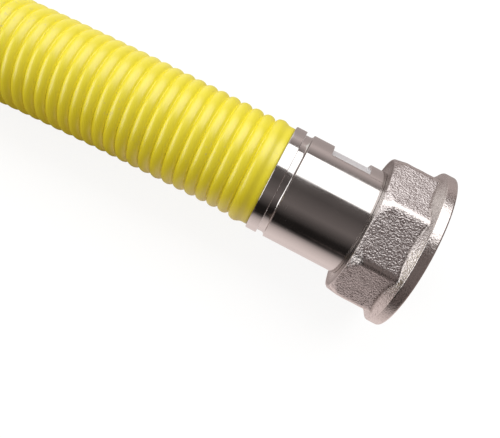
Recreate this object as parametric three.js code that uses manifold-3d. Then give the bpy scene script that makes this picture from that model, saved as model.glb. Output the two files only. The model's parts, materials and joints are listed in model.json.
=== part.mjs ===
// A flexible gas hose: a corrugated steel tube under a tight yellow coating, with the same union
// fitting on each end. Millimetres, +Z up. The hose lies on z = 0. Its near fitting points along +X
// over the origin, and its far fitting points along -Y after one gentle bend.
import * as THREE from 'three';
import { mergeVertices } from 'three/addons/utils/BufferGeometryUtils.js';
import Module from 'manifold-3d';

const wasm = await Module();
wasm.setup();

// Gap between pieces that touch, how far a cutter runs past the face it cuts, and sides of a round
// piece
const seatGap = 0.3;
const cutOver = 1;
const roundSides = 32;

// Hose. Its rings' crests lie a little inside the sleeve's surface
const coatingInset = 0.65;
const coatingWall = 1.55;
const corrugationHeight = 2.9;
const hoseSides = 12;
const hoseSteps = 26;

// Union nut, measured back from its mouth
const nutLength = 20;
const nutAcrossFlats = 46.9;
const nutCornerRadius = 2.6;
const nutCornerArcPoints = 3;
const nutFaceInset = 0.15;
const nutChamferSlopeDeg = 63.4;
const rimRadius = 26.9;
const rimWidth = 3.7;
const rimEdge = 0.5;
const rimBackSlopeDeg = 49;
const threadMinorRadius = 15.15;
const threadLeadIn = 1.6;
const threadLength = 12.4;
const threadReliefDepth = 1.6;
const nutBackWall = 3.9;
const nutRunningClearance = 0.6;
const nutEndPlay = 0.6;

// Turned tail inside the nut, and the flat gasket on it
const neckRadius = 13;
const tailBoreRadius = 11;
const tailCollarThickness = 3;
const tailCollarClearance = 0.5;
const spigotDepth = 10;
const gasketThickness = 2;
const gasketOverhang = 0.5;
const gasketClearance = 0.3;

// Polished sleeve
const sleeveRadius = 18.4;
const sleeveLength = 25.6;
const sleeveBoreRadius = 12.7;
const sleeveEdge = 0.6;
const grooveWidth = 2.4;
const grooveDepth = 1.1;
const flatLength = 13.2;
const flatDepth = 2;
const flatToNut = 4.9;

// Steel ring at the end of the coating, as wide as the sleeve
const ringLength = 3.6;
const ringEdge = 0.4;

// How far each piece is turned about the fitting's axis, from straight up towards the back
const flatTurnDeg = 66.5;
const nutTurnDeg = -14.4;

// Centre line of the coated hose from where it leaves the near fitting: nearly straight, then one
// bend that dips until the coating lies on the ground
const hosePoints = [
  [0, 0, 0],
  [-16.5, 0, 0],
  [-32.9, -0.2, -0.1],
  [-49.3, -0.4, -0.5],
  [-65.7, -0.7, -1.4],
  [-82.2, -1.1, -2.5],
  [-98.6, -1.6, -3.8],
  [-115, -2.2, -5.2],
  [-131.4, -3.1, -6.5],
  [-147.6, -5.2, -7.7],
  [-163.6, -9.1, -8.6],
  [-179.1, -14.7, -9.05],
  [-193.8, -22, -9.15],
  [-207.6, -30.9, -9.15],
  [-220.4, -41.2, -9.05],
  [-231.9, -52.9, -8.6],
  [-242.1, -65.8, -7.8],
  [-250.9, -79.7, -6.7],
  [-258, -94.5, -5.4],
  [-263.3, -110, -4],
  [-267, -126, -2.6],
  [-269, -142.3, -1.4],
  [-269.5, -158.8, -0.5],
  [-269.5, -175.1, -0.1],
  [-269.5, -191.6, 0],
];

// Sizes that follow
const coatingRadius = sleeveRadius - coatingInset;
const tubeRadius = coatingRadius - coatingWall - seatGap;
const tubeBoreRadius = tubeRadius - corrugationHeight;
const nutBackFloor = nutLength - nutBackWall;
const collarBack = nutBackFloor - seatGap;
const collarFront = collarBack - tailCollarThickness;
const gasketBack = collarFront - seatGap;
const gasketFront = gasketBack - gasketThickness;
const collarRadius = threadMinorRadius - tailCollarClearance;
const sleeveFront = nutLength + nutEndPlay;
const grooveFront = sleeveFront + sleeveLength;
const sleeveBack = grooveFront + grooveWidth;
const grooveRadius = sleeveRadius - grooveDepth;
const spigotEnd = sleeveFront + spigotDepth;
const ringFront = sleeveBack + seatGap;
const fittingLength = ringFront + ringLength;

// Finishes
const finish = (color, roughness, metalness) =>
  new THREE.MeshStandardMaterial({ color, roughness, metalness });
const yellowPlastic = finish('#f0d94a', 0.38, 0);
const polishedSteel = finish('#b8b0ac', 0.16, 1);
const tubeSteel = finish('#a9a7a4', 0.35, 1);
const castNickel = finish('#aea39c', 0.5, 0.9);
const fibreGasket = finish('#3f4346', 0.85, 0);

// Radius of a round hole whose flats clear a round piece of this radius by this gap
const holeRound = (radius, gap) => (radius + gap) / Math.cos(Math.PI / roundSides);

// Solid turned about the X axis from a closed profile of [radius, distance back from the mouth]
// points, given from the front face outwards
function revolve(profile) {
  const points = profile.map(([radius, back]) => new THREE.Vector2(radius, -back));
  points.push(points[0].clone());
  points.reverse();
  const geometry = new THREE.LatheGeometry(points, roundSides);
  geometry.rotateZ(-Math.PI / 2);
  return geometry;
}

// Solid for cutting and joining, from a closed geometry
function solidOf(geometry) {
  const bare = geometry.clone();
  bare.deleteAttribute('normal');
  bare.deleteAttribute('uv');
  const merged = mergeVertices(bare, 1e-4);
  return new wasm.Manifold(
    new wasm.Mesh({
      numProp: 3,
      vertProperties: new Float32Array(merged.attributes.position.array),
      triVerts: new Uint32Array(merged.index.array),
    }),
  );
}

function geometryOf(solid) {
  const { vertProperties, triVerts, numProp } = solid.getMesh();
  const positions = new Float32Array((vertProperties.length / numProp) * 3);
  for (let i = 0; i < positions.length / 3; i += 1) {
    positions.set(vertProperties.subarray(i * numProp, i * numProp + 3), i * 3);
  }
  const geometry = new THREE.BufferGeometry();
  geometry.setAttribute('position', new THREE.BufferAttribute(positions, 3));
  geometry.setIndex(new THREE.BufferAttribute(new Uint32Array(triVerts), 1));
  geometry.computeVertexNormals();
  return geometry;
}

function named(name, geometry, material) {
  const mesh = new THREE.Mesh(geometry, material);
  mesh.name = name;
  return mesh;
}

// Eight-sided outline with rounded corners, its first flat facing straight up
function octagon(acrossFlats, cornerRadius) {
  const shape = new THREE.Shape();
  const half = Math.PI / 8;
  const centreRadius = (acrossFlats / 2 - cornerRadius) / Math.cos(half);
  for (let corner = 0; corner < 8; corner += 1) {
    const angle = Math.PI / 2 + half * (2 * corner + 1);
    const x = centreRadius * Math.cos(angle);
    const y = centreRadius * Math.sin(angle);
    shape.absarc(x, y, cornerRadius, angle - half, angle + half, false);
  }
  shape.closePath();
  return shape;
}

function nutGeometry() {
  const outline = octagon(nutAcrossFlats, nutCornerRadius);
  const prism = new THREE.ExtrudeGeometry(outline, {
    depth: nutLength,
    bevelEnabled: false,
    curveSegments: nutCornerArcPoints,
  });
  // The outline's up (Y) becomes Z, and the prism runs back from the mouth
  prism.rotateX(Math.PI / 2);
  prism.rotateZ(Math.PI / 2);
  prism.translate(-nutLength, 0, 0);

  const slope = Math.tan(THREE.MathUtils.degToRad(nutChamferSlopeDeg));
  const faceRadius = nutAcrossFlats / 2 - nutFaceInset;
  const outside = nutAcrossFlats / 2 / Math.cos(Math.PI / 8) + cutOver;
  const chamfer = revolve([
    [0, -cutOver],
    [outside, -cutOver],
    [outside, nutLength - (outside - faceRadius) * slope],
    [faceRadius, nutLength],
    [0, nutLength],
  ]);

  // The rim's back slopes down to the flats
  const drop = rimRadius - rimEdge - nutAcrossFlats / 2;
  const rimFoot = rimWidth + drop / Math.tan(THREE.MathUtils.degToRad(rimBackSlopeDeg));
  const rim = revolve([
    [0, 0],
    [rimRadius - rimEdge, 0],
    [rimRadius, rimEdge],
    [rimRadius, rimWidth - rimEdge],
    [rimRadius - rimEdge, rimWidth],
    [nutAcrossFlats / 2, rimFoot],
    [0, rimFoot],
  ]);

  const reliefRadius = threadMinorRadius + threadReliefDepth;
  const backHole = holeRound(neckRadius, nutRunningClearance);
  const bore = revolve([
    [0, -cutOver],
    [threadMinorRadius + threadLeadIn + cutOver, -cutOver],
    [threadMinorRadius, threadLeadIn],
    [threadMinorRadius, threadLength],
    [reliefRadius, threadLength],
    [reliefRadius, nutBackFloor],
    [backHole, nutBackFloor],
    [backHole, nutLength + cutOver],
    [0, nutLength + cutOver],
  ]);
  const body = solidOf(prism).intersect(solidOf(chamfer)).add(solidOf(rim));
  return geometryOf(body.subtract(solidOf(bore)));
}

function gasketGeometry() {
  const outer = threadMinorRadius - gasketClearance;
  const inner = tailBoreRadius - gasketOverhang;
  return revolve([
    [inner, gasketFront],
    [outer, gasketFront],
    [outer, gasketBack],
    [inner, gasketBack],
  ]);
}

function tailGeometry() {
  return revolve([
    [tailBoreRadius, collarFront],
    [collarRadius, collarFront],
    [collarRadius, collarBack],
    [neckRadius, collarBack],
    [neckRadius, spigotEnd - seatGap],
    [tailBoreRadius, spigotEnd - seatGap],
  ]);
}

function sleeveGeometry() {
  const socket = holeRound(neckRadius, seatGap);
  const body = revolve([
    [socket, sleeveFront],
    [sleeveRadius - sleeveEdge, sleeveFront],
    [sleeveRadius, sleeveFront + sleeveEdge],
    [sleeveRadius, grooveFront - sleeveEdge],
    [sleeveRadius - sleeveEdge, grooveFront],
    [grooveRadius, grooveFront],
    [grooveRadius, sleeveBack],
    [sleeveBoreRadius, sleeveBack],
    [sleeveBoreRadius, spigotEnd],
    [socket, spigotEnd],
  ]);
  const cutter = new THREE.BoxGeometry(flatLength, 4 * sleeveRadius, 2 * sleeveRadius);
  const flatMiddle = sleeveFront + flatToNut + flatLength / 2;
  cutter.translate(-flatMiddle, 0, 2 * sleeveRadius - flatDepth);
  return geometryOf(solidOf(body).subtract(solidOf(cutter)));
}

function ringGeometry() {
  const inner = holeRound(tubeRadius, seatGap);
  return revolve([
    [inner, ringFront],
    [sleeveRadius - ringEdge, ringFront],
    [sleeveRadius, ringFront + ringEdge],
    [sleeveRadius, fittingLength - ringEdge],
    [sleeveRadius - ringEdge, fittingLength],
    [inner, fittingLength],
  ]);
}

// One whole fitting. Its mouth is at the group's origin and opens along the group's +X.
function fitting(end) {
  const group = new THREE.Group();
  const nut = named(`${end}_union_nut`, nutGeometry(), castNickel);
  nut.rotation.x = THREE.MathUtils.degToRad(-nutTurnDeg);
  const sleeve = named(`${end}_sleeve`, sleeveGeometry(), polishedSteel);
  sleeve.rotation.x = THREE.MathUtils.degToRad(-flatTurnDeg);
  group.add(nut, sleeve);
  group.add(named(`${end}_gasket`, gasketGeometry(), fibreGasket));
  group.add(named(`${end}_tail`, tailGeometry(), polishedSteel));
  group.add(named(`${end}_end_ring`, ringGeometry(), polishedSteel));
  return group;
}

// Pipe of a many-sided ring section along a line of points
function pipe(points, outer, inner) {
  const section = new THREE.Shape();
  const hole = new THREE.Path();
  for (let side = 0; side < hoseSides; side += 1) {
    const angle = (2 * Math.PI * side) / hoseSides;
    const put = side === 0 ? 'moveTo' : 'lineTo';
    section[put](outer * Math.cos(angle), outer * Math.sin(angle));
    hole[put](inner * Math.cos(angle), inner * Math.sin(angle));
  }
  section.closePath();
  hole.closePath();
  section.holes.push(hole);
  const route = new THREE.CatmullRomCurve3(points, false, 'centripetal');
  return new THREE.ExtrudeGeometry(section, { steps: hoseSteps, bevelEnabled: false, extrudePath: route });
}

const gasHose = new THREE.Group();

const near = fitting('near');
near.position.set(fittingLength / 2, 0, rimRadius);
gasHose.add(near);

const hoseStart = new THREE.Vector3(-fittingLength / 2 - seatGap, 0, rimRadius);
const coatingLine = hosePoints.map((point) => new THREE.Vector3(...point).add(hoseStart));
const coatingEnd = coatingLine.at(-1);
const nearWay = new THREE.Vector3(1, 0, 0);
const farWay = coatingEnd.clone().sub(coatingLine.at(-2)).setZ(0).normalize();

// The tube runs on past the coating, through each end ring to its sleeve
const tubeReach = ringLength + seatGap;
const tubeLine = [
  coatingLine[0].clone().addScaledVector(nearWay, tubeReach),
  ...coatingLine,
  coatingEnd.clone().addScaledVector(farWay, tubeReach),
];
gasHose.add(named('yellow_coating', pipe(coatingLine, coatingRadius, tubeRadius + seatGap), yellowPlastic));
gasHose.add(named('corrugated_tube', pipe(tubeLine, tubeRadius, tubeBoreRadius), tubeSteel));

const far = fitting('far');
far.position.copy(coatingEnd).addScaledVector(farWay, seatGap + fittingLength);
far.quaternion.setFromUnitVectors(nearWay, farWay);
gasHose.add(far);

export default gasHose;
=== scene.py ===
"""Looks of a flexible gas hose: a yellow ribbed hose with a polished union fitting on each end.

Everything is in metres with +Z up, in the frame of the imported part. Round pieces are rings of points
carried along a line: the hose's own route, or the straight axis of a fitting.
"""
import json
import logging
import math
from collections.abc import Sequence
from dataclasses import dataclass, field
from enum import Enum

import bpy
import numpy as np
from mathutils import Matrix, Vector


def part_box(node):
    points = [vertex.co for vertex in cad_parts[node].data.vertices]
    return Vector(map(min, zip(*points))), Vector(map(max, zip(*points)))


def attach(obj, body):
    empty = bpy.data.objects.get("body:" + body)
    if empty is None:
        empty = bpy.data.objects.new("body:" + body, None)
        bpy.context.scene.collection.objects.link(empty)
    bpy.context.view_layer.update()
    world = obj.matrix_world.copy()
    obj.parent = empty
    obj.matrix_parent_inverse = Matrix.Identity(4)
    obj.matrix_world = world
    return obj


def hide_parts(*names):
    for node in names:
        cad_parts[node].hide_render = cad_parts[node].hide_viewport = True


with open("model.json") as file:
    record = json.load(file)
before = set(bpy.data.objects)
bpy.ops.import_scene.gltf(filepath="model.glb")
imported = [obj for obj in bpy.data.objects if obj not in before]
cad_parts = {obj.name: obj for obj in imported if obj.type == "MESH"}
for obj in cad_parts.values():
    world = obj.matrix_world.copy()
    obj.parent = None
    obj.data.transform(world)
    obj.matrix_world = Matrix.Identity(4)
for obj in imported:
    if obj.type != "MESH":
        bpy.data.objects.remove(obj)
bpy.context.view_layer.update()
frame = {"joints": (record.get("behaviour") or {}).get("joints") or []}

logging.basicConfig(level=logging.INFO, format="%(message)s")
LOG = logging.getLogger("gas_hose")

MM = 0.001
UP = np.array([0.0, 0.0, 1.0])
SURFACE_MAP = "Surface"
# Millimetres from a rounded edge to the row that holds its shading
EDGE_ROW = 0.1

# The hose's route from where it leaves the near fitting, in millimetres, as the part's source has it
HOSE_POINTS_MM = [
    (0, 0, 0),
    (-16.5, 0, 0),
    (-32.9, -0.2, -0.1),
    (-49.3, -0.4, -0.5),
    (-65.7, -0.7, -1.4),
    (-82.2, -1.1, -2.5),
    (-98.6, -1.6, -3.8),
    (-115, -2.2, -5.2),
    (-131.4, -3.1, -6.5),
    (-147.6, -5.2, -7.7),
    (-163.6, -9.1, -8.6),
    (-179.1, -14.7, -9.05),
    (-193.8, -22, -9.15),
    (-207.6, -30.9, -9.15),
    (-220.4, -41.2, -9.05),
    (-231.9, -52.9, -8.6),
    (-242.1, -65.8, -7.8),
    (-250.9, -79.7, -6.7),
    (-258, -94.5, -5.4),
    (-263.3, -110, -4),
    (-267, -126, -2.6),
    (-269, -142.3, -1.4),
    (-269.5, -158.8, -0.5),
    (-269.5, -175.1, -0.1),
    (-269.5, -191.6, 0),
]


class Body(Enum):
    """Bodies of the part that pieces ride on."""

    HOSE = "hose"
    NEAR_NUT = "near_nut"
    FAR_NUT = "far_nut"


class Slot(Enum):
    """Material slots of the part's record."""

    COATING = "yellow_coating"
    TUBE = "tube_steel"
    STEEL = "polished_steel"
    NUT = "nut_metal"
    GASKET = "gasket_fibre"


class End(Enum):
    """The two ends of the hose, each with its nut's body."""

    NEAR = ("near", Body.NEAR_NUT)
    FAR = ("far", Body.FAR_NUT)

    @property
    def word(self) -> str:
        """The word that starts the names of this end's nodes."""
        return self.value[0]

    @property
    def nut_body(self) -> Body:
        """The body that this end's nut rides on."""
        return self.value[1]


def unit(vectors: np.ndarray) -> np.ndarray:
    """Vectors scaled to a length of one: each divided by its own length."""
    return vectors / np.linalg.norm(vectors, axis=-1, keepdims=True)


def smooth_min(first: np.ndarray, second: np.ndarray, width: float) -> np.ndarray:
    """The smaller of two values, with a rounded change between them.

    Formula: the plain minimum, less width / 4 × (1 − |difference| / width)² where they are closer
    than width.

    Args:
        first: One set of values.
        second: The other set.
        width: Difference within which the change is rounded.

    Returns:
        The rounded minimum.
    """
    near = np.clip(1.0 - np.abs(first - second) / width, 0.0, 1.0)
    return np.minimum(first, second) - 0.25 * width * near**2


def smooth_max(first: np.ndarray, second: np.ndarray, width: float) -> np.ndarray:
    """The larger of two values, rounded: minus the rounded minimum of their negatives."""
    return -smooth_min(-first, -second, width)


def even_turn(count: int) -> np.ndarray:
    """Angles of a full turn in equal steps, from 0 and without the last."""
    return np.arange(count) * (2 * np.pi / count)


# Height, seed, wavelength, and smallest and largest number of lobes
Waver = tuple[float, int, float, tuple[int, int]]


def waver(along: np.ndarray, angle: np.ndarray, layer: Waver) -> np.ndarray:
    """Gentle unevenness of a surface, up to about its height.

    Formula: the height × the mean of six sines of (lobes × angle + 2π × along / wave + phase), with
    whole numbers of lobes, so that it closes on itself around the piece.

    Args:
        along: Distance along the piece for each row.
        angle: Angle for each column.
        layer: Height, seed of the random lobes, waves and phases, typical wavelength and lobes around.

    Returns:
        One value for each row and column.
    """
    height, seed, wave, lobes = layer
    draw = np.random.default_rng(seed)
    total = np.zeros((len(along), len(angle)))
    sines = 6
    for _ in range(sines):
        turns = int(draw.integers(lobes[0], lobes[1] + 1))
        pull = draw.uniform(-1.0, 1.0) * 2 * np.pi / wave
        phase = draw.uniform(0.0, 2 * np.pi)
        total += np.sin(turns * angle[None, :] + pull * along[:, None] + phase)
    return height * (total / sines)


def put_in_scene(name: str, data: bpy.types.ID) -> bpy.types.Object:
    """A new object that holds the data, linked into the scene."""
    made = bpy.data.objects.new(name, data)
    bpy.context.scene.collection.objects.link(made)
    return made


def placed(axes: np.ndarray, place: np.ndarray) -> Matrix:
    """The matrix of an object at a place, whose own axes are the columns given."""
    matrix = np.eye(4)
    matrix[:3, :3] = axes
    matrix[:3, 3] = place
    return Matrix(matrix.tolist())


class HoseRoute:
    """Centre line of the hose, with the straight stretches that run on into both fittings.

    Distances along it are counted from where the coating starts at the near fitting.
    """

    def __init__(self, start: np.ndarray, reach: float) -> None:
        """Works out the line.

        Args:
            start: Where the coating starts.
            reach: How far the line runs on, straight, beyond each end.
        """
        points = np.array(HOSE_POINTS_MM, float) * MM + start
        curve = self._through(points)
        steps = np.linalg.norm(np.diff(curve, axis=0), axis=1)
        self.length = float(steps.sum())
        first_way = unit(points[0] - points[1])
        last_way = unit(points[-1] - points[-2])
        self._line = np.vstack([curve[0] + reach * first_way, curve, curve[-1] + reach * last_way])
        self._marks = np.concatenate([[-reach], [0.0], np.cumsum(steps), [self.length + reach]])

    @staticmethod
    def _through(points: np.ndarray, samples: int = 24) -> np.ndarray:
        """A smooth line through points, made of cubics.

        Formula: each span is a cubic between two points, whose slopes come from their neighbours
        weighted by the square roots of the distances. The ends are mirrored outwards.

        Args:
            points: Points to pass through.
            samples: Points on each span.

        Returns:
            The dense line.
        """
        whole = np.vstack([2 * points[0] - points[1], points, 2 * points[-1] - points[-2]])
        knots = np.sqrt(np.linalg.norm(np.diff(whole, axis=0), axis=1))[:, None]
        before, span, after = knots[:-2], knots[1:-1], knots[2:]
        p0, p1, p2, p3 = whole[:-3], whole[1:-2], whole[2:-1], whole[3:]
        leave = ((p1 - p0) / before - (p2 - p0) / (before + span) + (p2 - p1) / span) * span
        arrive = ((p2 - p1) / span - (p3 - p1) / (span + after) + (p3 - p2) / after) * span
        t = (np.arange(samples) / samples)[None, :, None]
        cubic = (
            p1[:, None] * (2 * t**3 - 3 * t**2 + 1)
            + leave[:, None] * (t**3 - 2 * t**2 + t)
            + p2[:, None] * (3 * t**2 - 2 * t**3)
            + arrive[:, None] * (t**3 - t**2)
        )
        return np.vstack([cubic.reshape(-1, 3), points[-1]])

    def frames(self, along: np.ndarray) -> tuple[np.ndarray, np.ndarray, np.ndarray]:
        """Centre, up and side directions at distances along the line.

        Formula: the way towards the near fitting is the slope of the line; side is level and square
        to it, and up is square to both.

        Args:
            along: Distances along the line.

        Returns:
            Centres, ups and sides, one row each.
        """
        step = 0.5 * MM
        centre = self._at(along)
        towards_near = unit(self._at(along - step) - self._at(along + step))
        side = unit(np.cross(UP, towards_near))
        return centre, np.cross(towards_near, side), side

    def _at(self, along: np.ndarray) -> np.ndarray:
        """Points of the line at distances along it, held at its two ends."""
        return np.stack([np.interp(along, self._marks, self._line[:, axis]) for axis in range(3)], axis=-1)


class FittingAxis:
    """Straight axis of a fitting. Distances run back from its mouth."""

    def __init__(self, end: End) -> None:
        """Reads the axis from the nut's joint and the nut's box.

        Args:
            end: Which end of the hose.
        """
        joint = next(j for j in frame["joints"] if j["child"] == end.nut_body.value)
        self.forward = unit(np.array(joint["axis"], float))
        pivot = np.array(joint["pos_m"], float)
        low, high = (np.array(corner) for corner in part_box(f"{end.word}_union_nut"))
        front = max(float(low @ self.forward), float(high @ self.forward))
        self.mouth = pivot + (front - float(pivot @ self.forward)) * self.forward
        self.side = unit(np.cross(UP, self.forward))

    def frames(self, back: np.ndarray) -> tuple[np.ndarray, np.ndarray, np.ndarray]:
        """Centre, up and side directions at distances back from the mouth.

        Args:
            back: Distances back from the mouth.

        Returns:
            Centres, ups and sides, one row each.
        """
        centre = self.mouth - back[:, None] * self.forward
        return centre, np.tile(UP, (len(back), 1)), np.tile(self.side, (len(back), 1))


@dataclass
class RingSurface:
    """A closed surface made of rings: rows run along a line and back inside, columns run around it."""

    name: str
    line: HoseRoute | FittingAxis
    along: np.ndarray
    radius: np.ndarray
    angle: np.ndarray
    sharp_deg: float | None = 40.0
    marks: dict[str, np.ndarray] = field(default_factory=dict)

    def build(self) -> bpy.types.Object:
        """Makes the mesh.

        Formula: point = centre + radius × (cos(angle) × up + sin(angle) × side). The last row joins the
        first, so the surface is closed like a tyre.

        Returns:
            The new object, at the origin with its place in its mesh.
        """
        centre, up, side = self.line.frames(self.along)
        cosine, sine = (rule(self.angle)[None, :, None] for rule in (np.cos, np.sin))
        spoke = cosine * up[:, None] + sine * side[:, None]
        points = centre[:, None] + self.radius[..., None] * spoke
        rows, columns = self.radius.shape
        row, column = np.meshgrid(np.arange(rows), np.arange(columns), indexing="ij")
        next_row, next_column = (row + 1) % rows, (column + 1) % columns
        corners = [(row, column), (row, next_column), (next_row, next_column), (next_row, column)]
        faces = np.stack([r * columns + c for r, c in corners], axis=-1).reshape(-1, 4)
        turn = np.append(self.angle, self.angle[0] + 2 * np.pi) / (2 * np.pi)
        around = np.stack([turn[column], turn[column + 1], turn[column + 1], turn[column]], axis=-1)
        down = np.stack([self.along[r] for r, _ in corners], axis=-1)
        surface_map = np.stack([around, down], axis=-1).reshape(-1, 2)
        return self._put(points.reshape(-1, 3), faces, surface_map)

    def _put(self, points: np.ndarray, faces: np.ndarray, surface_map: np.ndarray) -> bpy.types.Object:
        """Puts points, faces and the surface map into a mesh, and smooths it.

        Args:
            points: One point a row.
            faces: Four point numbers a row.
            surface_map: Turns around and metres along, for each corner of each face.

        Returns:
            The new object.
        """
        mesh = bpy.data.meshes.new(self.name)
        mesh.vertices.add(len(points))
        mesh.vertices.foreach_set("co", points.ravel())
        mesh.loops.add(faces.size)
        mesh.loops.foreach_set("vertex_index", faces.ravel())
        mesh.polygons.add(len(faces))
        mesh.polygons.foreach_set("loop_start", np.arange(len(faces)) * 4)
        mesh.uv_layers.new(name=SURFACE_MAP).data.foreach_set("uv", surface_map.ravel())
        for name, values in self.marks.items():
            mesh.attributes.new(name, "FLOAT", "POINT").data.foreach_set("value", values.ravel())
        mesh.update(calc_edges=True)
        mesh.validate()
        mesh.shade_smooth()
        if self.sharp_deg is not None:
            mesh.set_sharp_from_angle(angle=math.radians(self.sharp_deg))
        return put_in_scene(self.name, mesh)


Spot = tuple[float, float]
Profile = list[Spot]


def turned(name: str, axis: FittingAxis, profile: Profile, columns: int = 128) -> bpy.types.Object:
    """A turned piece: one closed profile carried around a fitting's axis.

    Args:
        name: Name of the piece.
        axis: The fitting's axis.
        profile: Millimetres back from the mouth and of radius, from the mouth outwards and back inside.
        columns: Points around.

    Returns:
        The new object.
    """
    back, radius = np.array(profile).T * MM
    rings = np.repeat(radius[:, None], columns, axis=1)
    return RingSurface(name, axis, back, rings, even_turn(columns)).build()


def bend(start: Spot, corner: Spot, end: Spot, count: int = 3) -> Profile:
    """Points of a rounded corner, without its two ends.

    Formula: a parabola that leaves start towards the corner and arrives at end from it.

    Args:
        start: Where the round begins.
        corner: The sharp corner that it replaces.
        end: Where the round stops.
        count: Points between the ends.

    Returns:
        The points, as millimetres back and of radius.
    """
    t = np.arange(1, count + 1)[:, None] / (count + 1)
    points = (1 - t) ** 2 * np.array(start) + 2 * t * (1 - t) * np.array(corner) + t**2 * np.array(end)
    return [tuple(point) for point in points.tolist()]


Colour = tuple[float, float, float]
Stops = Sequence[tuple[float, Colour]]
Levels = Sequence[tuple[float, float]]
Inputs = dict[str | int, object]
Socket = bpy.types.NodeSocket
Outputs = bpy.types.NodeOutputs


def rgba(colour: Colour) -> tuple[float, float, float, float]:
    """A colour with full alpha."""
    return (*colour, 1.0)


class Tree:
    """A node tree being put together, of a material, the world or a shader group."""

    def __init__(self, tree: bpy.types.NodeTree) -> None:
        """Keeps the tree."""
        self.tree = tree

    def node(self, kind: str, inputs: Inputs | None = None, **options: object) -> bpy.types.Node:
        """Adds a node.

        Args:
            kind: The node's type name.
            inputs: What each input takes: a socket to link, or a value.
            options: Settings of the node.

        Returns:
            The new node.
        """
        made = self.tree.nodes.new(kind)
        for key, value in options.items():
            setattr(made, key, value)
        for key, value in (inputs or {}).items():
            if isinstance(value, Socket):
                self.link(value, made, key)
            else:
                made.inputs[key].default_value = value
        return made

    def link(self, value: Socket, node: bpy.types.Node, key: str | int) -> None:
        """Feeds a value into a node's input."""
        self.tree.links.new(value, node.inputs[key])

    def math(self, operation: str, first: object, second: object) -> Socket:
        """A Math node's result."""
        return self.node("ShaderNodeMath", {0: first, 1: second}, operation=operation).outputs[0]

    def add(self, first: object, second: object) -> Socket:
        """The sum of two values."""
        return self.math("ADD", first, second)

    def times(self, first: object, second: object) -> Socket:
        """The product of two values."""
        return self.math("MULTIPLY", first, second)

    def mix(self, share: object, first: object, second: object) -> Socket:
        """The mix of two colours."""
        inputs = {0: share, 6: first, 7: second}
        return self.node("ShaderNodeMix", inputs, data_type="RGBA").outputs[2]

    def spread(self, value: object, span: Spot, to: Spot = (0.0, 1.0)) -> Socket:
        """A value carried smoothly from one span to another."""
        inputs = {"Value": value, "From Min": span[0], "From Max": span[1], "To Min": to[0], "To Max": to[1]}
        return self.node("ShaderNodeMapRange", inputs, interpolation_type="SMOOTHSTEP").outputs[0]

    def noise(self, where: Socket, scale: object, detail: float = 2.0, rough: float = 0.5) -> Socket:
        """A noise value over a place."""
        inputs = {"Vector": where, "Scale": scale, "Detail": detail, "Roughness": rough}
        return self.node("ShaderNodeTexNoise", inputs).outputs[0]

    def bands(self, share: object, stops: Stops) -> Socket:
        """A colour that changes evenly between stops, as a value goes from 0 to 1."""
        made = self.node("ShaderNodeValToRGB", {0: share})
        ramp = made.color_ramp
        while len(ramp.elements) < len(stops):
            ramp.elements.new(0.5)
        for element, (position, colour) in zip(ramp.elements, stops):
            element.position = position
            element.color = rgba(colour)
        return made.outputs[0]

    def bump(self, height: Socket, strength: float, distance: float) -> Socket:
        """The normal of a surface that a height raises, by the distance where the height is one."""
        inputs = {"Strength": strength, "Distance": distance, "Height": height}
        return self.node("ShaderNodeBump", inputs).outputs[0]

    def place(self) -> Socket:
        """The place on the piece, in metres."""
        return self.node("ShaderNodeTexCoord").outputs["Object"]

    def mark(self, name: str) -> Socket:
        """A value that the piece's own points carry."""
        return self.node("ShaderNodeAttribute", attribute_name=name).outputs["Fac"]

    def along(self) -> Socket:
        """Metres along the piece's own line."""
        surface = self.node("ShaderNodeUVMap", uv_map=SURFACE_MAP).outputs[0]
        return self.node("ShaderNodeSeparateXYZ", {0: surface}).outputs[1]

    def group(self, shared: bpy.types.NodeTree, **inputs: object) -> bpy.types.Node:
        """A shared effect, placed with its own values."""
        return self.node("ShaderNodeGroup", inputs, node_tree=shared)


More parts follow.
